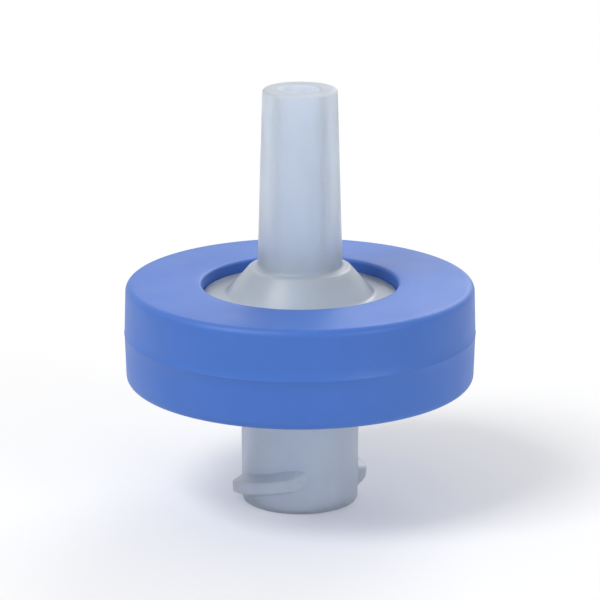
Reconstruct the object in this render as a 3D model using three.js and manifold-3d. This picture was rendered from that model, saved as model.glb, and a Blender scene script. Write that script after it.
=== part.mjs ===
// A 13 mm syringe filter. Two natural polypropylene housing halves clamp a membrane disc between
// them, and a coloured grip ring is moulded over the joint, so the filter never comes apart.
//
// Millimetres. +Z runs along the flow, from the female luer lock inlet to the male luer slip outlet.
// The origin is at the centre of the inlet's mouth, on which the filter stands.

import * as THREE from "three";
import { mergeVertices } from "three/addons/utils/BufferGeometryUtils.js";
import Module from "manifold-3d";

const wasm = await Module();
wasm.setup();

// ---- Driving dimensions ----

const FIT = 0.05; // gap between pieces that the real filter has pressed or moulded together

// Luer fittings, by their standard
const LUER_TAPER = 0.03; // loss of radius for each unit of length
const LUER_LEAD = 5.0; // right-hand, two starts

// Inlet socket and its barrel
const SOCKET_MOUTH_D = 4.28;
const SOCKET_DEPTH = 7.5;
const SOCKET_CHAMFER = 0.15;
const BARREL_WALL = 1.01; // at the mouth
const BARREL_DRAFT = 0.08; // gain of radius over the length
const BARREL_EDGE_FILLET = 0.15;
const BARREL_ROOT_FILLET = 0.6;

// Lugs of the luer lock
const LUG_HEIGHT = 0.75; // over the barrel
const LUG_ROOT_WIDTH = 1.3;
const LUG_CREST_WIDTH = 0.6;
const LUG_SWEEP = 0.56 * Math.PI; // how far round the barrel each lug runs
const LUG_RAMP = 0.22; // share of the sweep in which each end rises from the barrel
const LUG_START = 0.1; // from the mouth

// Plates and orifice
const INLET_WALL = 1.6;
const OUTLET_WALL = 1.7;
const ORIFICE_D = 1.8;
const ORIFICE_LENGTH = 1.5; // from the socket to the chamber
const ORIFICE_FILLET = 0.2;

// Membrane, its pocket and the bead that clamps its rim
const MEMBRANE_D = 13.0;
const MEMBRANE_T = 0.15;
const POCKET_CLEARANCE = 0.1; // round the membrane
const CLAMP_WIDTH = 1.0; // of the membrane's rim
const BEAD_HEIGHT = 0.2;
const BEAD_CREST_WIDTH = 0.2;
const BEAD_ROOT_WIDTH = 0.6;

// Chambers on the membrane's two sides
const CHAMBER_DEPTH = 0.4; // from the inlet plate to the membrane
const DRAIN_DEPTH = 0.3; // from the membrane's seat to the outlet plate

// Ribs that spread the flow over the membrane
const SPREADER_COUNT = 12;
const SPREADER_HEIGHT = 0.2;
const SPREADER_WIDTH = 0.4;
const SPREADER_START = [1.4, 2.9]; // inner radius of the long and of the short ribs

// Rings that hold the membrane up, cut by radial channels that drain it
const SUPPORT_START = 2.0; // radius of the first
const SUPPORT_PITCH = 0.98;
const SUPPORT_WIDTH = 0.42;
const DRAIN_GAP = 0.3; // least gap from the last ring to the chamber's wall
const DRAIN_CHANNEL_COUNT = 8;
const DRAIN_CHANNEL_WIDTH = 0.6;

// Flanges, which the ring grips
const FLANGE_LAND = 0.7; // round the membrane's pocket
const FLANGE_FILLET = 0.12;

// Grip ring
const RING_WALL = 2.15; // round the flanges
const RING_LIP = 1.25; // wall over each flange
const RING_LIP_REACH = 2.05; // from the ring's inner wall to its window
const RING_PROUD = 0.6; // how far each face stands above its plate
const RING_DRAFT = 0.1; // loss of radius from the parting line to each face
const RING_EDGE_FILLET = 0.4;
const RING_WINDOW_FILLET = 0.18;

// Outlet: a cone on the plate and the luer tip on the cone
const CONE_HEIGHT = 1.5;
const CONE_SPREAD = 1.3; // gain of radius from its top to the plate
const CONE_FILLET = 0.3;
const TIP_D = 4.0; // at its end
const TIP_LENGTH = 9.7; // from the cone
const TIP_SHOULDER = 0.42; // flat round the tip's root
const TIP_ROOT_FILLET = 0.3;
const TIP_EDGE_FILLET = 0.15;
const BORE_D = 2.1; // at the tip's end
const BORE_DRAFT = 0.1; // gain of radius from the tip's end to the drain

// Facets round the axis
const HOUSING_SEGMENTS = 60;
const RING_SEGMENTS = 80;
const SUPPORT_SEGMENTS = 40;

// ---- Heights along the flow ----

const inletFloorZ = SOCKET_DEPTH + ORIFICE_LENGTH;
const inletPlateZ = inletFloorZ - INLET_WALL; // outer face
const membraneZ = inletFloorZ + CHAMBER_DEPTH; // lower face
const splitZ = membraneZ - FIT; // upper face of the inlet flange
const landZ = splitZ - BEAD_HEIGHT; // round the bead
const seatZ = membraneZ + MEMBRANE_T + FIT;
const drainFloorZ = seatZ + DRAIN_DEPTH;
const outletPlateZ = drainFloorZ + OUTLET_WALL; // outer face
const ringBottomZ = inletPlateZ - RING_PROUD;
const ringTopZ = outletPlateZ + RING_PROUD;
const inletFlangeZ = ringBottomZ + RING_LIP + FIT; // outer faces, under the ring's lips
const outletFlangeZ = ringTopZ - RING_LIP - FIT;
const coneTopZ = outletPlateZ + CONE_HEIGHT;
const tipEndZ = coneTopZ + TIP_LENGTH;

// ---- Radii, from the membrane outwards and inwards ----

const membraneR = MEMBRANE_D / 2;
const pocketR = membraneR + POCKET_CLEARANCE;
const flangeR = pocketR + FLANGE_LAND;
const ringWallR = flangeR + FIT;
const windowR = ringWallR - RING_LIP_REACH;
const plateR = windowR - FIT;
const ringR = ringWallR + RING_WALL; // at the parting line
const chamberR = membraneR - CLAMP_WIDTH;
const beadR = membraneR - CLAMP_WIDTH / 2;
const mouthR = SOCKET_MOUTH_D / 2;
const barrelR = mouthR + BARREL_WALL;
const tipRootR = TIP_D / 2 + LUER_TAPER * TIP_LENGTH;
const coneTopR = tipRootR + TIP_SHOULDER;

// ---- Geometry helpers ----

const MERGE = 1e-5; // vertices nearer than this are one vertex
const FILLET_FACET = 0.25; // length of a fillet's facets
const SINK = 0.1; // how far a rib's root goes into the wall that carries it

/** Manifold solid of a closed three.js geometry. */
function solid(geometry) {
  const bare = geometry.clone();
  bare.deleteAttribute("normal");
  bare.deleteAttribute("uv");
  const merged = mergeVertices(bare, MERGE);
  const corners = merged.index.array;
  const triVerts = [];
  for (let i = 0; i < corners.length; i += 3) {
    const [a, b, c] = corners.slice(i, i + 3);
    if (a !== b && b !== c && c !== a) triVerts.push(a, b, c);
  }
  return new wasm.Manifold(new wasm.Mesh({
    numProp: 3,
    vertProperties: Float32Array.from(merged.attributes.position.array),
    triVerts: Uint32Array.from(triVerts),
  }));
}

/** three.js geometry of a Manifold solid. */
function geometryOf(body) {
  const mesh = body.getMesh();
  const geometry = new THREE.BufferGeometry();
  geometry.setAttribute("position", new THREE.BufferAttribute(mesh.vertProperties, 3));
  geometry.setIndex(new THREE.BufferAttribute(mesh.triVerts, 1));
  const facets = geometry.toNonIndexed();
  facets.computeVertexNormals();
  return facets;
}

/**
 * Rounds a closed outline of corners [radius, height, fillet]. A fillet takes at most 45 % of the
 * shorter side that meets at its corner.
 */
function rounded(corners) {
  const at = (i) => new THREE.Vector2(...corners.at(i % corners.length).slice(0, 2));
  return corners.flatMap(([, , fillet = 0], i) => {
    const corner = at(i);
    if (!fillet) return [corner];
    const back = at(i - 1).sub(corner);
    const ahead = at(i + 1).sub(corner);
    const halfAngle = Math.acos(back.dot(ahead) / back.length() / ahead.length()) / 2;
    const room = 0.45 * Math.min(back.length(), ahead.length());
    const reach = Math.min(fillet / Math.tan(halfAngle), room);
    const start = corner.clone().addScaledVector(back.normalize(), reach);
    const middle = back.clone().add(ahead.normalize()).normalize();
    const centre = corner.clone().addScaledVector(middle, reach / Math.cos(halfAngle));
    const turn = Math.sign(ahead.cross(back)) * (Math.PI - 2 * halfAngle);
    const steps = Math.max(2, Math.round(Math.abs(turn) * start.distanceTo(centre) / FILLET_FACET));
    return Array.from({ length: steps + 1 }, (_, k) =>
      start.clone().rotateAround(centre, (turn * k) / steps));
  });
}

/** Revolves a closed outline of corners round the Z axis. */
function revolved(corners, segments) {
  const profile = rounded(corners);
  profile.push(profile[0].clone());
  return new THREE.LatheGeometry(profile, segments).rotateX(Math.PI / 2);
}

/** Joins sections of [radius, height] points, each at its own angle round the Z axis. */
function lofted(sections) {
  const size = sections[0].points.length;
  const position = sections.flatMap(({ angle, points }) =>
    points.flatMap(([r, z]) => [r * Math.cos(angle), r * Math.sin(angle), z]));
  const index = [];
  for (let s = 0; s + 1 < sections.length; s++) {
    for (let k = 0; k < size; k++) {
      const a = s * size + k;
      const b = s * size + ((k + 1) % size);
      index.push(a, a + size, b, b, a + size, b + size);
    }
  }
  const last = (sections.length - 1) * size;
  for (let k = 1; k + 1 < size; k++) {
    index.push(0, k, k + 1, last, last + k + 1, last + k);
  }
  const geometry = new THREE.BufferGeometry();
  geometry.setAttribute("position", new THREE.Float32BufferAttribute(position, 3));
  geometry.setIndex(index);
  return geometry;
}

/** A straight bar along a radius, from one height to another, turned by angle round the Z axis. */
function radialBar({ from, to, width, bottom, top, angle }) {
  return new THREE.BoxGeometry(to - from, width, top - bottom)
    .translate((from + to) / 2, 0, (bottom + top) / 2)
    .rotateZ(angle);
}

// ---- Inlet half: luer lock socket, plate, spreader ribs and clamping bead ----

/** One lug of the luer lock: a short run of thread whose ends rise out of the barrel. */
function luerLug(startAngle) {
  const steps = 20;
  const rootR = barrelR - SINK;
  return lofted(Array.from({ length: steps + 1 }, (_, i) => {
    const along = i / steps;
    const rise = THREE.MathUtils.smoothstep(Math.min(along, 1 - along), 0, LUG_RAMP);
    const crestR = THREE.MathUtils.lerp(rootR + SINK / 2, barrelR + LUG_HEIGHT, rise);
    const middle = LUG_START + LUG_ROOT_WIDTH / 2 + (along * LUG_SWEEP / (2 * Math.PI)) * LUER_LEAD;
    return {
      angle: startAngle + along * LUG_SWEEP,
      points: [
        [rootR, middle - LUG_ROOT_WIDTH / 2],
        [crestR, middle - LUG_CREST_WIDTH / 2],
        [crestR, middle + LUG_CREST_WIDTH / 2],
        [rootR, middle + LUG_ROOT_WIDTH / 2],
      ],
    };
  }));
}

function inletHousing() {
  let body = solid(revolved([
    [mouthR + SOCKET_CHAMFER, 0],
    [barrelR, 0, BARREL_EDGE_FILLET],
    [barrelR + BARREL_DRAFT, inletPlateZ, BARREL_ROOT_FILLET],
    [plateR, inletPlateZ, FLANGE_FILLET],
    [plateR, inletFlangeZ],
    [flangeR, inletFlangeZ, FLANGE_FILLET],
    [flangeR, splitZ, FLANGE_FILLET],
    [pocketR, splitZ],
    [pocketR, landZ],
    [beadR + BEAD_ROOT_WIDTH / 2, landZ],
    [beadR + BEAD_CREST_WIDTH / 2, splitZ],
    [beadR - BEAD_CREST_WIDTH / 2, splitZ],
    [beadR - BEAD_ROOT_WIDTH / 2, landZ],
    [chamberR, landZ],
    [chamberR, inletFloorZ],
    [ORIFICE_D / 2, inletFloorZ, ORIFICE_FILLET],
    [ORIFICE_D / 2, SOCKET_DEPTH],
    [mouthR - LUER_TAPER * SOCKET_DEPTH, SOCKET_DEPTH],
    [mouthR - LUER_TAPER * SOCKET_CHAMFER, SOCKET_CHAMFER],
  ], HOUSING_SEGMENTS));
  for (const startAngle of [0, Math.PI]) {
    body = body.add(solid(luerLug(startAngle)));
  }
  for (let i = 0; i < SPREADER_COUNT; i++) {
    body = body.add(solid(radialBar({
      from: SPREADER_START[i % SPREADER_START.length],
      to: chamberR + SINK,
      width: SPREADER_WIDTH,
      bottom: inletFloorZ - SINK,
      top: inletFloorZ + SPREADER_HEIGHT,
      angle: (i * 2 * Math.PI) / SPREADER_COUNT,
    })));
  }
  return body;
}

// ---- Outlet half: membrane seat, support rings, drain channels, cone and luer slip tip ----

function supportRing(radius) {
  const inner = radius - SUPPORT_WIDTH / 2;
  const outer = radius + SUPPORT_WIDTH / 2;
  return revolved([
    [inner, seatZ],
    [outer, seatZ],
    [outer, drainFloorZ + SINK],
    [inner, drainFloorZ + SINK],
  ], SUPPORT_SEGMENTS);
}

function drainChannel(angle) {
  return radialBar({
    from: 0,
    to: chamberR,
    width: DRAIN_CHANNEL_WIDTH,
    bottom: membraneZ,
    top: drainFloorZ,
    angle,
  });
}

/** All support rings, as many as the chamber takes, with the drain channels cut through them. */
function membraneSupport() {
  const lastRadius = chamberR - DRAIN_GAP - SUPPORT_WIDTH / 2;
  let support = solid(supportRing(SUPPORT_START));
  for (let radius = SUPPORT_START + SUPPORT_PITCH; radius <= lastRadius; radius += SUPPORT_PITCH) {
    support = support.add(solid(supportRing(radius)));
  }
  for (let i = 0; i < DRAIN_CHANNEL_COUNT; i++) {
    support = support.subtract(solid(drainChannel((i * 2 * Math.PI) / DRAIN_CHANNEL_COUNT)));
  }
  return support;
}

function outletHousing() {
  const tipR = TIP_D / 2;
  const boreR = BORE_D / 2;
  return solid(revolved([
    [boreR + BORE_DRAFT, drainFloorZ, ORIFICE_FILLET],
    [chamberR, drainFloorZ],
    [chamberR, seatZ],
    [pocketR, seatZ],
    [pocketR, membraneZ],
    [flangeR, membraneZ, FLANGE_FILLET],
    [flangeR, outletFlangeZ, FLANGE_FILLET],
    [plateR, outletFlangeZ],
    [plateR, outletPlateZ, FLANGE_FILLET],
    [coneTopR + CONE_SPREAD, outletPlateZ, CONE_FILLET],
    [coneTopR, coneTopZ, CONE_FILLET],
    [tipRootR, coneTopZ, TIP_ROOT_FILLET],
    [tipR, tipEndZ, TIP_EDGE_FILLET],
    [boreR, tipEndZ, TIP_EDGE_FILLET],
  ], HOUSING_SEGMENTS)).add(membraneSupport());
}

// ---- Membrane ----

function membrane() {
  return solid(revolved([
    [0, membraneZ],
    [membraneR, membraneZ],
    [membraneR, membraneZ + MEMBRANE_T],
    [0, membraneZ + MEMBRANE_T],
  ], RING_SEGMENTS));
}

// ---- Grip ring: a C section over both flanges, drafted from the parting line ----

function gripRing() {
  return solid(revolved([
    [windowR, ringBottomZ, RING_WINDOW_FILLET],
    [ringR - RING_DRAFT, ringBottomZ, RING_EDGE_FILLET],
    [ringR, (ringBottomZ + ringTopZ) / 2],
    [ringR - RING_DRAFT, ringTopZ, RING_EDGE_FILLET],
    [windowR, ringTopZ, RING_WINDOW_FILLET],
    [windowR, ringTopZ - RING_LIP],
    [ringWallR, ringTopZ - RING_LIP],
    [ringWallR, ringBottomZ + RING_LIP],
    [windowR, ringBottomZ + RING_LIP],
  ], RING_SEGMENTS));
}

// ---- Scene graph ----

const naturalPP = new THREE.MeshStandardMaterial({
  name: "natural_pp", color: 0xdde5f0, roughness: 0.35, metalness: 0, transparent: true, opacity: 0.8,
});
const bluePP = new THREE.MeshStandardMaterial({
  name: "blue_pp", color: 0x3a6ccd, roughness: 0.42, metalness: 0,
});
const membraneWhite = new THREE.MeshStandardMaterial({
  name: "membrane", color: 0xf8f8f6, roughness: 0.95, metalness: 0,
});

const filter = new THREE.Group();
for (const [name, body, material] of [
  ["inlet_housing", inletHousing(), naturalPP],
  ["membrane", membrane(), membraneWhite],
  ["outlet_housing", outletHousing(), naturalPP],
  ["grip_ring", gripRing(), bluePP],
]) {
  const mesh = new THREE.Mesh(geometryOf(body), material);
  mesh.name = name;
  filter.add(mesh);
}

export default filter;
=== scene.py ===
"""The looks of a 13 mm syringe filter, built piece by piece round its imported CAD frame.

It stands on its inlet socket with the outlet tip up. Metres, +Z along the flow.
"""

import math

import bpy
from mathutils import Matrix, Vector


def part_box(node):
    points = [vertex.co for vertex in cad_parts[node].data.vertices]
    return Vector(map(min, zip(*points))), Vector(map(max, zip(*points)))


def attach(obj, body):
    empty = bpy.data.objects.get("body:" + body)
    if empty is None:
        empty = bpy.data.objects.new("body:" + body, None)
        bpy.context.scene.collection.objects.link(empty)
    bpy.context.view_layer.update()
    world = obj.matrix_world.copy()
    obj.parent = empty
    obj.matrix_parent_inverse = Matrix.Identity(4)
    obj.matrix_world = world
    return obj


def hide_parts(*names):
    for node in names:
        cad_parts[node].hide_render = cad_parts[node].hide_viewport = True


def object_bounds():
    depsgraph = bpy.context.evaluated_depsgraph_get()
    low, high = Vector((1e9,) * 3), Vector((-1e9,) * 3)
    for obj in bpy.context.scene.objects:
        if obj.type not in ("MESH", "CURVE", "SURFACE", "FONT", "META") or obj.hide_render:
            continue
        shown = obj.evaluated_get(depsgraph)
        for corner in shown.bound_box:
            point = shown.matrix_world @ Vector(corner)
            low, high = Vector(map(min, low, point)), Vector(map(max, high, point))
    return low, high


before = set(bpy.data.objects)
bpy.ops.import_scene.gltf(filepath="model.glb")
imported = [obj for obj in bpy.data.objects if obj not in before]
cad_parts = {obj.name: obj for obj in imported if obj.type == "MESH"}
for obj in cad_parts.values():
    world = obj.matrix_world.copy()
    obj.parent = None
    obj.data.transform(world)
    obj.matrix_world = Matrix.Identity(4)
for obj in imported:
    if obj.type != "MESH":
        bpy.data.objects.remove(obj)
cad_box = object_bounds()
MM = 0.001


# ---- Table, light and camera -------------------------------------------------------------
# A plain white table in an even white room, under three large soft lamps. The camera looks a
# little down on the filter, from far enough away that the rings keep their true ovals.

ROOM_LIGHT = 0.45  # the room's light on things; a look straight at it is plain white
TABLE_LIFT = 0.12  # glow that makes the lit table plain white to the camera
TABLE_FADE = 60 * MM, 110 * MM  # between these distances it gives way to the room's white
TABLE_GAP = 0.01 * MM  # under the filter, so that no two faces share a plane
LENS = 200
ELEVATION = math.radians(16)
FIELD = 1.42  # the picture's height over the filter's
AIM = 0.49  # share of the filter's height at the picture's middle
filter_top = cad_box[1][2]


def add(tree, kind, inputs=None, out=0, **settings):
    """Adds a node and returns one of its outputs. inputs maps its sockets to values or outputs."""
    node = tree.nodes.new(kind)
    for name, value in settings.items():
        setattr(node, name, value)
    for socket, value in (inputs or {}).items():
        if isinstance(value, bpy.types.NodeSocket):
            tree.links.new(value, node.inputs[socket])
        else:
            node.inputs[socket].default_value = value
    return node.outputs[out]


def seen_by_camera(tree):
    """1 for a ray by which the camera sees a thing: straight, in a gloss or through a clear wall."""
    rays = tree.nodes.new("ShaderNodeLightPath").outputs
    in_gloss = add(tree, "ShaderNodeMath", {
        0: rays["Is Camera Ray"], 1: rays["Is Glossy Ray"]}, operation="MAXIMUM")
    return add(tree, "ShaderNodeMath", {
        0: in_gloss, 1: rays["Is Transmission Ray"]}, operation="MAXIMUM")


room = bpy.data.worlds.new("white_room")
bpy.context.scene.world = room
room.use_nodes = True
tree = room.node_tree
brightness = add(tree, "ShaderNodeMapRange", {
    "Value": seen_by_camera(tree), "To Min": ROOM_LIGHT, "To Max": 1.0})
tree.links.new(brightness, tree.nodes["Background"].inputs["Strength"])
tree.nodes["Background"].inputs["Color"].default_value = (1, 1, 1, 1)


def softbox(name, place, size, power):
    """A square lamp that faces the middle of the filter."""
    lamp = bpy.data.lights.new(name, "AREA")
    lamp.size, lamp.energy = size, power
    box = bpy.data.objects.new(name, lamp)
    box.location = place
    towards = Vector(place) - Vector((0, 0, filter_top / 2))
    box.rotation_euler = towards.to_track_quat("Z", "Y").to_euler()
    bpy.context.scene.collection.objects.link(box)


softbox("key_lamp", place=(-0.24, -0.18, 0.38), size=0.22, power=1.1)
softbox("fill_lamp", place=(0.30, -0.30, 0.16), size=0.16, power=0.35)
softbox("back_lamp", place=(0.14, 0.36, 0.26), size=0.26, power=0.6)

bpy.ops.mesh.primitive_plane_add(size=3.0, location=(0, 0, -TABLE_GAP))
table = bpy.context.object
table.name = "table"
table_white = bpy.data.materials.new("table_white")
table_white.use_nodes = True
tree = table_white.node_tree
table_surface = tree.nodes["Principled BSDF"]
table_surface.inputs["Base Color"].default_value = (0.9, 0.9, 0.9, 1)
table_surface.inputs["Roughness"].default_value = 0.9
table_surface.inputs["Specular IOR Level"].default_value = 0.2
table_surface.inputs["Emission Color"].default_value = (1, 1, 1, 1)
lift = add(tree, "ShaderNodeMath", {0: seen_by_camera(tree), 1: TABLE_LIFT}, operation="MULTIPLY")
tree.links.new(lift, table_surface.inputs["Emission Strength"])
from_below = add(tree, "ShaderNodeNewGeometry", out="Backfacing")
where = add(tree, "ShaderNodeTexCoord", out="Object")
reach = add(tree, "ShaderNodeVectorMath", {0: where}, out="Value", operation="LENGTH")
far_off = add(tree, "ShaderNodeMapRange", {
    "Value": reach, "From Min": TABLE_FADE[0], "From Max": TABLE_FADE[1],
}, interpolation_type="SMOOTHSTEP")
unseen = add(tree, "ShaderNodeMath", {0: from_below, 1: far_off}, operation="MAXIMUM")
see_through = add(tree, "ShaderNodeMixShader", {
    0: unseen, 1: table_surface.outputs["BSDF"], 2: add(tree, "ShaderNodeBsdfTransparent")})
tree.links.new(see_through, tree.nodes["Material Output"].inputs["Surface"])
table.data.materials.append(table_white)

camera_data = bpy.data.cameras.new("camera")
camera_data.lens = LENS
camera_data.clip_start, camera_data.clip_end = 0.005, 10
camera = bpy.data.objects.new("camera", camera_data)
bpy.context.scene.collection.objects.link(camera)
bpy.context.scene.camera = camera
distance = FIELD * filter_top * LENS / camera_data.sensor_width
view_line = Vector((0, -math.cos(ELEVATION), math.sin(ELEVATION)))
camera.location = Vector((0, 0, filter_top * AIM)) + view_line * distance
camera.rotation_euler = view_line.to_track_quat("Z", "Y").to_euler()
bpy.context.scene.view_settings.view_transform = "Standard"


# ---- Inlet half --------------------------------------------------------------------------
# One moulding in natural polypropylene: the luer lock socket with its two thread lugs, the
# inlet plate, and behind it the spreader ribs and the bead that clamps the membrane's rim.

NATURAL_COLOUR = (0.775, 0.85, 0.99, 1)
FIT = 0.05 * MM  # gap between pieces that the real filter has pressed or moulded together
SINK = 0.1 * MM  # how deep a rib's root goes into its wall
RING_PROUD = 0.6 * MM  # how far the grip ring's faces stand above the plates
RING_LIP = 1.25 * MM
PLATE_RADIUS = 5.25 * MM
INLET_WALL = 1.6 * MM
CLAMP_WIDTH = 1.0 * MM  # of the membrane's rim
LUER_TAPER = 0.03  # loss of radius for each unit of length
SOCKET_MOUTH = 2.14 * MM
SOCKET_DEPTH = 7.5 * MM
SOCKET_CHAMFER = 0.15 * MM
BARREL_RADIUS = 3.15 * MM
BARREL_DRAFT = 0.08 * MM
ORIFICE_RADIUS = 0.9 * MM
BEAD_HEIGHT = 0.2 * MM
BEAD_CREST = 0.1 * MM  # half its width
BEAD_ROOT = 0.3 * MM

# Fillets
CRISP = 0.05 * MM  # a corner that the mould leaves all but sharp
EDGE = 0.12 * MM
LUER_EDGE = 0.15 * MM
GATE = 0.2 * MM  # round the ends of the bores
BARREL_ROOT = 0.6 * MM

ring_low, ring_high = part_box("grip_ring")
membrane_low, membrane_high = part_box("membrane")
inlet_low, inlet_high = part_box("inlet_housing")
pocket_radius = membrane_high[0] + 2 * FIT
chamber_radius = membrane_high[0] - CLAMP_WIDTH


FACET = 0.05 * MM  # longest step along a fillet
RUN = 0.6 * MM  # longest step along a straight wall
FILLET_REACH = 0.45  # most of a side that the fillet at one of its ends takes


def rounded(corners):
    """Points of a closed outline of (radius, height, fillet) corners, with each fillet as an arc."""
    points = []
    for i, (r, z, fillet) in enumerate(corners):
        corner = Vector((r, z))
        if fillet == 0:
            points.append(corner)
            continue
        back = Vector(corners[i - 1][:2]) - corner
        ahead = Vector(corners[(i + 1) % len(corners)][:2]) - corner
        half = back.angle(ahead) / 2
        shorter_side = min(back.length, ahead.length)
        reach = min(fillet / math.tan(half), FILLET_REACH * shorter_side)
        radius = reach * math.tan(half)
        middle = (back.normalized() + ahead.normalized()).normalized()
        centre = corner + middle * reach / math.cos(half)
        arm = corner + back.normalized() * reach - centre
        sweep = math.copysign(math.pi - 2 * half, ahead.x * back.y - ahead.y * back.x)
        steps = max(4, math.ceil(abs(sweep) * radius / FACET))
        for k in range(steps + 1):
            turn = sweep * k / steps
            along = arm.x * math.cos(turn) - arm.y * math.sin(turn)
            across = arm.x * math.sin(turn) + arm.y * math.cos(turn)
            points.append(centre + Vector((along, across)))
    return points


def divided(points):
    """The points of a closed outline, with more along its straight walls."""
    for here, after in zip(points, points[1:] + points[:1]):
        steps = math.ceil((after - here).length / RUN)
        for k in range(steps):
            yield here.lerp(after, k / steps)


def turned(name, corners, segments=256):
    """An object whose mesh is a closed outline of corners turned round the Z axis."""
    places, faces, circles = [], [], []
    for r, z in divided(rounded(corners)):
        if r == 0:
            circles.append([len(places)] * segments)
            places.append((0, 0, z))
            continue
        circles.append(range(len(places), len(places) + segments))
        for k in range(segments):
            turn = 2 * math.pi * k / segments
            places.append((r * math.cos(turn), r * math.sin(turn), z))
    for lower, upper in zip(circles, circles[1:] + circles[:1]):
        for k in range(segments):
            after = (k + 1) % segments
            face = list(dict.fromkeys((lower[k], lower[after], upper[after], upper[k])))
            if len(face) > 2:
                faces.append(face)
    mesh = bpy.data.meshes.new(name)
    mesh.from_pydata(places, [], faces)
    piece = bpy.data.objects.new(name, mesh)
    bpy.context.scene.collection.objects.link(piece)
    return piece


def new_tree(name, sizes):
    """A geometry node tree with a body and named sizes as its inputs, and those inputs."""
    tree = bpy.data.node_groups.new(name, "GeometryNodeTree")
    tree.interface.new_socket("Body", in_out="INPUT", socket_type="NodeSocketGeometry")
    for size, value in sizes.items():
        kind = "NodeSocketInt" if isinstance(value, int) else "NodeSocketFloat"
        tree.interface.new_socket(size, in_out="INPUT", socket_type=kind)
    tree.interface.new_socket("Moulding", in_out="OUTPUT", socket_type="NodeSocketGeometry")
    return tree, tree.nodes.new("NodeGroupInput").outputs


def grown(piece, tree, sizes, moulding, material):
    """Ends the tree with the moulding, and keeps the plain mesh that it makes of the piece."""
    whole = add(tree, "GeometryNodeRealizeInstances", {"Geometry": moulding})
    painted = add(tree, "GeometryNodeSetMaterial", {"Geometry": whole, "Material": material})
    tree.links.new(painted, tree.nodes.new("NodeGroupOutput").inputs[0])
    growth = piece.modifiers.new(tree.name, "NODES")
    growth.node_group = tree
    for item in tree.interface.items_tree:
        if item.name in sizes:
            growth[item.identifier] = sizes[item.name]
    evaluated = piece.evaluated_get(bpy.context.evaluated_depsgraph_get())
    piece.data = bpy.data.meshes.new_from_object(evaluated)
    piece.modifiers.clear()


def calc(tree, operation, *values):
    """The result of one Math node."""
    return add(tree, "ShaderNodeMath", dict(enumerate(values)), operation=operation)


def place(tree, x=0.0, y=0.0, z=0.0):
    """A point or a turn of three coordinates."""
    return add(tree, "ShaderNodeCombineXYZ", {"X": x, "Y": y, "Z": z})


CREST_UP = math.pi  # how far a bar's cross-section turns for its crest to point up
CREST_OUT = -math.pi / 2  # or away from the Z axis


def bar_outline(tree, root_width, crest_width, height, fillet, crest=CREST_UP):
    """A bar's cross-section, with the middle of its root on the curve that carries it."""
    outline = add(tree, "GeometryNodeCurvePrimitiveQuadrilateral", {
        "Height": height, "Bottom Width": root_width, "Top Width": crest_width, "Offset": 0.0,
    }, mode="TRAPEZOID")
    middle = place(tree, y=calc(tree, "MULTIPLY", height, 0.5))
    raised = add(tree, "GeometryNodeTransform", {"Geometry": outline, "Translation": middle})
    aimed = add(tree, "GeometryNodeTransform", {"Geometry": raised, "Rotation": (0, 0, crest)})
    return add(tree, "GeometryNodeFilletCurve", {
        "Curve": aimed, "Radius": fillet, "Count": 4, "Limit Radius": True}, mode="POLY")


def swept(tree, curve, outline):
    """A solid bar along the curve, its cross-section upright."""
    upright = add(tree, "GeometryNodeSetCurveNormal", {"Curve": curve}, mode="Z_UP")
    return add(tree, "GeometryNodeCurveToMesh", {
        "Curve": upright, "Profile Curve": outline, "Fill Caps": True})


def spun(tree, shape, count, pick=False):
    """Copies of the shape, evenly round the Z axis. With pick, its instances take turns."""
    index = add(tree, "GeometryNodeInputIndex")
    step = calc(tree, "DIVIDE", math.tau, count)
    turn = place(tree, z=calc(tree, "MULTIPLY", index, step))
    points = add(tree, "GeometryNodePoints", {"Count": count})
    return add(tree, "GeometryNodeInstanceOnPoints", {
        "Points": points, "Instance": shape, "Pick Instance": pick,
        "Instance Index": index, "Rotation": turn})


STREAK_SIZE = 4.0 * MM  # of the pigment
CLOUD_SIZE = 2.5 * MM  # of the patches of gloss


def moulded_skin():
    """Shader group: pigment that isn't quite even, the fine grain of a mould, and patchy gloss."""
    skin = bpy.data.node_groups.new("moulded_skin", "ShaderNodeTree")
    skin.interface.new_socket("Colour", in_out="INPUT", socket_type="NodeSocketColor")
    for name in ("Streaks", "Grain Size", "Grain Depth", "Roughness", "Unevenness"):
        skin.interface.new_socket(name, in_out="INPUT", socket_type="NodeSocketFloat")
    skin.interface.new_socket("Colour", in_out="OUTPUT", socket_type="NodeSocketColor")
    skin.interface.new_socket("Roughness", in_out="OUTPUT", socket_type="NodeSocketFloat")
    skin.interface.new_socket("Normal", in_out="OUTPUT", socket_type="NodeSocketVector")
    given = skin.nodes.new("NodeGroupInput").outputs
    where = add(skin, "ShaderNodeTexCoord", out="Object")
    flow = add(skin, "ShaderNodeTexNoise", {
        "Vector": where, "Scale": 1 / STREAK_SIZE, "Detail": 3.0, "Distortion": 1.5})
    strength = calc(skin, "MULTIPLY_ADD", calc(skin, "SUBTRACT", flow, 0.5), given["Streaks"], 1.0)
    colour = add(skin, "ShaderNodeHueSaturation", {"Color": given["Colour"], "Value": strength})
    clouds = add(skin, "ShaderNodeTexNoise", {
        "Vector": where, "Scale": 1 / CLOUD_SIZE, "Detail": 2.0})
    uneven = calc(skin, "MULTIPLY", calc(skin, "SUBTRACT", clouds, 0.5), given["Unevenness"])
    fineness = calc(skin, "DIVIDE", 1.0, given["Grain Size"])
    grain = add(skin, "ShaderNodeTexNoise", {"Vector": where, "Scale": fineness, "Detail": 2.0})
    bumps = add(skin, "ShaderNodeBump", {"Height": grain, "Distance": given["Grain Depth"]})
    ends = skin.nodes.new("NodeGroupOutput")
    skin.links.new(colour, ends.inputs["Colour"])
    skin.links.new(calc(skin, "ADD", given["Roughness"], uneven), ends.inputs["Roughness"])
    skin.links.new(bumps, ends.inputs["Normal"])
    return skin


SKIN = moulded_skin()


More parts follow.
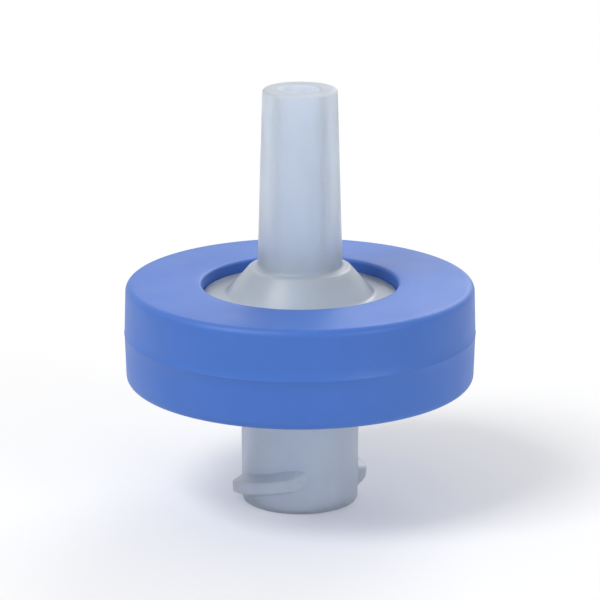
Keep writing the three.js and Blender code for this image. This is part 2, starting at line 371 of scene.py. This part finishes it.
def plastic(name, colour, streaks, grain_size, grain_depth, roughness, unevenness):
    """A moulded plastic, and its Principled shader for what else it needs."""
    material = bpy.data.materials.new(name)
    material.use_nodes = True
    tree = material.node_tree
    surface = tree.nodes["Principled BSDF"]
    surface.inputs["IOR"].default_value = 1.49
    skin = tree.nodes.new("ShaderNodeGroup")
    skin.node_tree = SKIN
    finish = (colour, streaks, grain_size, grain_depth, roughness, unevenness)
    for socket, value in zip(skin.inputs, finish):
        socket.default_value = value
    tree.links.new(skin.outputs["Colour"], surface.inputs["Base Color"])
    tree.links.new(skin.outputs["Roughness"], surface.inputs["Roughness"])
    tree.links.new(skin.outputs["Normal"], surface.inputs["Normal"])
    return material, surface


SHARP_EDGE = math.radians(32)  # a bend past this stays an edge


def fitted(piece, node):
    """Smooth shading with crisp edges; the piece rides on the root body, and its CAD node is hidden.
    """
    piece.data.shade_smooth()
    piece.data.set_sharp_from_angle(angle=SHARP_EDGE)
    weighted = piece.modifiers.new("weighted_normals", "WEIGHTED_NORMAL")
    weighted.keep_sharp = True
    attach(piece, "root")
    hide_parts(node)


natural_pp, natural_surface = plastic(
    "natural_polypropylene", NATURAL_COLOUR, streaks=0.1, grain_size=0.2 * MM,
    grain_depth=0.003 * MM, roughness=0.31, unevenness=0.06)
natural_surface.inputs["Subsurface Weight"].default_value = 1.0
natural_surface.inputs["Subsurface Radius"].default_value = (1.0, 1.0, 1.0)
natural_surface.inputs["Subsurface Scale"].default_value = 2.0 * MM
natural_surface.inputs["Transmission Weight"].default_value = 0.6

plate_z = ring_low[2] + RING_PROUD
flange_z = ring_low[2] + RING_LIP + FIT
inlet_floor = plate_z + INLET_WALL
split_z = inlet_high[2]
land_z = split_z - BEAD_HEIGHT
bead_radius = membrane_high[0] - CLAMP_WIDTH / 2
inlet_half = turned("inlet_half", [
    (SOCKET_MOUTH + SOCKET_CHAMFER, 0, CRISP),
    (BARREL_RADIUS, 0, LUER_EDGE),
    (BARREL_RADIUS + BARREL_DRAFT, plate_z, BARREL_ROOT),
    (PLATE_RADIUS, plate_z, EDGE),
    (PLATE_RADIUS, flange_z, CRISP),
    (inlet_high[0], flange_z, EDGE),
    (inlet_high[0], split_z, EDGE),
    (pocket_radius, split_z, CRISP),
    (pocket_radius, land_z, CRISP),
    (bead_radius + BEAD_ROOT, land_z, 0),
    (bead_radius + BEAD_CREST, split_z, CRISP),
    (bead_radius - BEAD_CREST, split_z, CRISP),
    (bead_radius - BEAD_ROOT, land_z, 0),
    (chamber_radius, land_z, CRISP),
    (chamber_radius, inlet_floor, CRISP),
    (ORIFICE_RADIUS, inlet_floor, GATE),
    (ORIFICE_RADIUS, SOCKET_DEPTH, CRISP),
    (SOCKET_MOUTH - LUER_TAPER * SOCKET_DEPTH, SOCKET_DEPTH, GATE),
    (SOCKET_MOUTH - LUER_TAPER * SOCKET_CHAMFER, SOCKET_CHAMFER, CRISP),
])

inlet_sizes = {
    "Lug Root Radius": BARREL_RADIUS - SINK,
    "Lug Height": 0.85 * MM,  # from the root radius to the crest
    "Lug Root Width": 1.3 * MM,
    "Lug Crest Width": 0.6 * MM,
    "Lug Start": 0.75 * MM,  # the middle of its low end, above the mouth
    "Lug Turns": 0.28,
    "Lug Lead": 5.0 * MM,
    "Lug Ramp": 0.22,  # share of its length in which each end rises from the barrel
    "Lug End": 0.06,  # share of its height that is left at the ends
    "Lug Fillet": 0.08 * MM,
    "Lug Count": 2,
    "Rib Count": 12,
    "Rib Width": 0.4 * MM,
    "Rib Height": 0.2 * MM,
    "Rib Fillet": 0.06 * MM,
    "Long Rib Start": 1.4 * MM,
    "Short Rib Start": 2.9 * MM,
    "Rib End": chamber_radius + SINK,
    "Rib Root": inlet_floor - SINK,
}
tree, given = new_tree("lugs_and_spreader_ribs", inlet_sizes)

helix = add(tree, "GeometryNodeCurveSpiral", {
    "Resolution": 256, "Rotations": given["Lug Turns"], "Reverse": True,
    "Start Radius": given["Lug Root Radius"], "End Radius": given["Lug Root Radius"],
    "Height": calc(tree, "MULTIPLY", given["Lug Turns"], given["Lug Lead"])})
raised = add(tree, "GeometryNodeTransform", {
    "Geometry": helix, "Translation": place(tree, z=given["Lug Start"])})
along = add(tree, "GeometryNodeSplineParameter", out="Factor")
nearer_end = calc(tree, "MINIMUM", along, calc(tree, "SUBTRACT", 1.0, along))
ramp = add(tree, "ShaderNodeMapRange", {
    "Value": nearer_end, "From Max": given["Lug Ramp"], "To Min": given["Lug End"],
}, interpolation_type="SMOOTHSTEP")
keep = tree.nodes.new("GeometryNodeCaptureAttribute")
keep.capture_items.new("FLOAT", "Rise")
tree.links.new(raised, keep.inputs["Geometry"])
tree.links.new(ramp, keep.inputs["Rise"])
outline = bar_outline(
    tree, given["Lug Root Width"], given["Lug Crest Width"], given["Lug Height"],
    given["Lug Fillet"], crest=CREST_OUT)
bar = swept(tree, keep.outputs["Geometry"], outline)
where = add(tree, "GeometryNodeInputPosition")
flat = add(tree, "ShaderNodeVectorMath", {0: where, 1: (1, 1, 0)}, operation="MULTIPLY")
radius = add(tree, "ShaderNodeVectorMath", {0: flat}, out="Value", operation="LENGTH")
height = calc(tree, "SUBTRACT", radius, given["Lug Root Radius"])
drop = calc(tree, "MULTIPLY", height, calc(tree, "SUBTRACT", keep.outputs["Rise"], 1.0))
inward = add(tree, "ShaderNodeVectorMath", {
    0: flat, "Scale": calc(tree, "DIVIDE", drop, radius)}, operation="SCALE")
lug = add(tree, "GeometryNodeSetPosition", {"Geometry": bar, "Offset": inward})

rib_outline = bar_outline(
    tree, given["Rib Width"], given["Rib Width"],
    calc(tree, "ADD", given["Rib Height"], SINK), given["Rib Fillet"])
ribs = add(tree, "GeometryNodeJoinGeometry")
for start in ("Short Rib Start", "Long Rib Start"):
    spine = add(tree, "GeometryNodeCurvePrimitiveLine", {
        "Start": place(tree, x=given[start], z=given["Rib Root"]),
        "End": place(tree, x=given["Rib End"], z=given["Rib Root"])})
    rib = swept(tree, spine, rib_outline)
    instance = add(tree, "GeometryNodeGeometryToInstance", {"Geometry": rib})
    tree.links.new(instance, ribs.node.inputs[0])

union = tree.nodes.new("GeometryNodeMeshBoolean")
union.operation, union.solver = "UNION", "MANIFOLD"
for part in (given["Body"], spun(tree, lug, given["Lug Count"]),
             spun(tree, ribs, given["Rib Count"], pick=True)):
    tree.links.new(part, union.inputs["Mesh 2"])
grown(inlet_half, tree, inlet_sizes, union.outputs["Mesh"], natural_pp)
fitted(inlet_half, "inlet_housing")


# ---- Outlet half -------------------------------------------------------------------------
# The second moulding in natural polypropylene: the seat and rings that hold the membrane up,
# radial channels cut through the rings, and outside them the cone and the luer slip tip.

OUTLET_WALL = 1.7 * MM
CONE_HEIGHT = 1.5 * MM
CONE_SPREAD = 1.3 * MM  # gain of radius from its top to the plate
CONE_FILLET = 0.3 * MM
TIP_SHOULDER = 0.42 * MM  # flat round the tip's root
TIP_RADIUS = 2.0 * MM
BORE_RADIUS = 1.05 * MM
BORE_DRAFT = 0.1 * MM
DRAIN_DEPTH = 0.3 * MM

outlet_low, outlet_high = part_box("outlet_housing")
seat_z = membrane_high[2] + FIT
drain_floor = seat_z + DRAIN_DEPTH
top_plate_z = drain_floor + OUTLET_WALL
top_flange_z = ring_high[2] - RING_LIP - FIT
cone_top = top_plate_z + CONE_HEIGHT
tip_root_radius = TIP_RADIUS + LUER_TAPER * (outlet_high[2] - cone_top)
cone_top_radius = tip_root_radius + TIP_SHOULDER
outlet_half = turned("outlet_half", [
    (BORE_RADIUS + BORE_DRAFT, drain_floor, GATE),
    (chamber_radius, drain_floor, CRISP),
    (chamber_radius, seat_z, CRISP),
    (pocket_radius, seat_z, CRISP),
    (pocket_radius, outlet_low[2], CRISP),
    (outlet_high[0], outlet_low[2], EDGE),
    (outlet_high[0], top_flange_z, EDGE),
    (PLATE_RADIUS, top_flange_z, CRISP),
    (PLATE_RADIUS, top_plate_z, EDGE),
    (cone_top_radius + CONE_SPREAD, top_plate_z, CONE_FILLET),
    (cone_top_radius, cone_top, CONE_FILLET),
    (tip_root_radius, cone_top, CONE_FILLET),
    (TIP_RADIUS, outlet_high[2], LUER_EDGE),
    (BORE_RADIUS, outlet_high[2], LUER_EDGE),
])

outlet_sizes = {
    "Ring Count": 4,
    "Ring Facets": 190,  # so that their corners miss those of the turned walls
    "Ring Start": 2.0 * MM,  # radius of the first
    "Ring Pitch": 0.98 * MM,
    "Ring Width": 0.42 * MM,
    "Ring Height": DRAIN_DEPTH + SINK,
    "Ring Fillet": 0.05 * MM,
    "Seat": seat_z,
    "Channel Count": 8,
    "Channel Width": 0.6 * MM,
    "Channel Start": seat_z - 2 * FIT,  # clear of the seat
    "Channel End": chamber_radius,
    "Channel Depth": DRAIN_DEPTH + 2 * FIT + SINK / 2,
}
tree, given = new_tree("support_rings_and_channels", outlet_sizes)

index = add(tree, "GeometryNodeInputIndex")
radius = calc(tree, "MULTIPLY_ADD", index, given["Ring Pitch"], given["Ring Start"])
circle = add(tree, "GeometryNodeCurvePrimitiveCircle", {
    "Resolution": given["Ring Facets"], "Radius": 1.0})
circles = add(tree, "GeometryNodeInstanceOnPoints", {
    "Points": add(tree, "GeometryNodePoints", {
        "Count": given["Ring Count"], "Position": place(tree, z=given["Seat"])}),
    "Instance": circle, "Scale": radius})
outline = bar_outline(
    tree, given["Ring Width"], given["Ring Width"], given["Ring Height"], given["Ring Fillet"])
plain_circles = add(tree, "GeometryNodeSetCurveRadius", {
    "Curve": add(tree, "GeometryNodeRealizeInstances", {"Geometry": circles}), "Radius": 1.0})
rings = swept(tree, plain_circles, outline)

spine = add(tree, "GeometryNodeCurvePrimitiveLine", {
    "Start": place(tree, z=given["Channel Start"]),
    "End": place(tree, x=given["Channel End"], z=given["Channel Start"])})
channel_outline = bar_outline(
    tree, given["Channel Width"], given["Channel Width"], given["Channel Depth"], 0.0)
channels = spun(tree, swept(tree, spine, channel_outline), given["Channel Count"])
cut = tree.nodes.new("GeometryNodeMeshBoolean")
cut.operation, cut.solver = "DIFFERENCE", "MANIFOLD"
tree.links.new(rings, cut.inputs["Mesh 1"])
tree.links.new(channels, cut.inputs["Mesh 2"])
union = tree.nodes.new("GeometryNodeMeshBoolean")
union.operation, union.solver = "UNION", "MANIFOLD"
tree.links.new(given["Body"], union.inputs["Mesh 2"])
tree.links.new(cut.outputs["Mesh"], union.inputs["Mesh 2"])
grown(outlet_half, tree, outlet_sizes, union.outputs["Mesh"], natural_pp)
fitted(outlet_half, "outlet_housing")


# ---- Membrane ----------------------------------------------------------------------------
# A disc of white porous film, punched from a sheet. It lies under the support rings, and the
# bead on the inlet half presses its rim against the outlet half's seat.

CUT_EDGE = 0.02 * MM
FILM_WHITE = 0.88, 0.96  # from the pores to the solid film
PORE_SIZE = 0.05 * MM
PORE_DEPTH = 0.003 * MM

membrane_disc = turned("membrane_disc", [
    (0, membrane_low[2], 0),
    (membrane_high[0], membrane_low[2], CUT_EDGE),
    (membrane_high[0], membrane_high[2], CUT_EDGE),
    (0, membrane_high[2], 0),
])
film = bpy.data.materials.new("porous_film")
film.use_nodes = True
film_surface = film.node_tree.nodes["Principled BSDF"]
film_surface.inputs["Specular IOR Level"].default_value = 0.2
film_surface.inputs["Roughness"].default_value = 0.85
film_where = add(film.node_tree, "ShaderNodeTexCoord", out="Object")
pores = add(film.node_tree, "ShaderNodeTexNoise", {"Vector": film_where, "Scale": 1 / PORE_SIZE})
film_colour = add(film.node_tree, "ShaderNodeMapRange", {
    "Value": pores, "From Min": 0.3, "From Max": 0.7,
    "To Min": FILM_WHITE[0], "To Max": FILM_WHITE[1]})
pits = add(film.node_tree, "ShaderNodeBump", {"Height": pores, "Distance": PORE_DEPTH})
film.node_tree.links.new(film_colour, film_surface.inputs["Base Color"])
film.node_tree.links.new(pits, film_surface.inputs["Normal"])
membrane_disc.data.materials.append(film)
fitted(membrane_disc, "membrane")


# ---- Grip ring ---------------------------------------------------------------------------
# A band of opaque blue polypropylene moulded over both flanges, with a lip on each face. Its
# wall leans in a little from the parting line, where the two mould halves leave a fine seam.

BLUE_COLOUR = (0.050, 0.162, 0.570, 1)
RING_DRAFT = 0.1 * MM
RING_EDGE = 0.4 * MM
WINDOW_EDGE = 0.18 * MM
SEAM_HEIGHT = 0.02 * MM
SEAM_WIDTH = 0.06 * MM

window_radius = PLATE_RADIUS + FIT
ring_wall = inlet_high[0] + FIT
ring_radius = ring_high[0]
seam_z = (ring_low[2] + ring_high[2]) / 2
grip_band = turned("grip_band", [
    (window_radius, ring_low[2], WINDOW_EDGE),
    (ring_radius - RING_DRAFT, ring_low[2], RING_EDGE),
    (ring_radius - SEAM_HEIGHT, seam_z - SEAM_WIDTH / 2, 0),
    (ring_radius, seam_z, 0),
    (ring_radius - SEAM_HEIGHT, seam_z + SEAM_WIDTH / 2, 0),
    (ring_radius - RING_DRAFT, ring_high[2], RING_EDGE),
    (window_radius, ring_high[2], WINDOW_EDGE),
    (window_radius, ring_high[2] - RING_LIP, CRISP),
    (ring_wall, ring_high[2] - RING_LIP, CRISP),
    (ring_wall, ring_low[2] + RING_LIP, CRISP),
    (window_radius, ring_low[2] + RING_LIP, CRISP),
])
blue_pp, _ = plastic(
    "blue_polypropylene", BLUE_COLOUR, streaks=0.12, grain_size=0.15 * MM,
    grain_depth=0.006 * MM, roughness=0.45, unevenness=0.14)
grip_band.data.materials.append(blue_pp)
fitted(grip_band, "grip_ring")
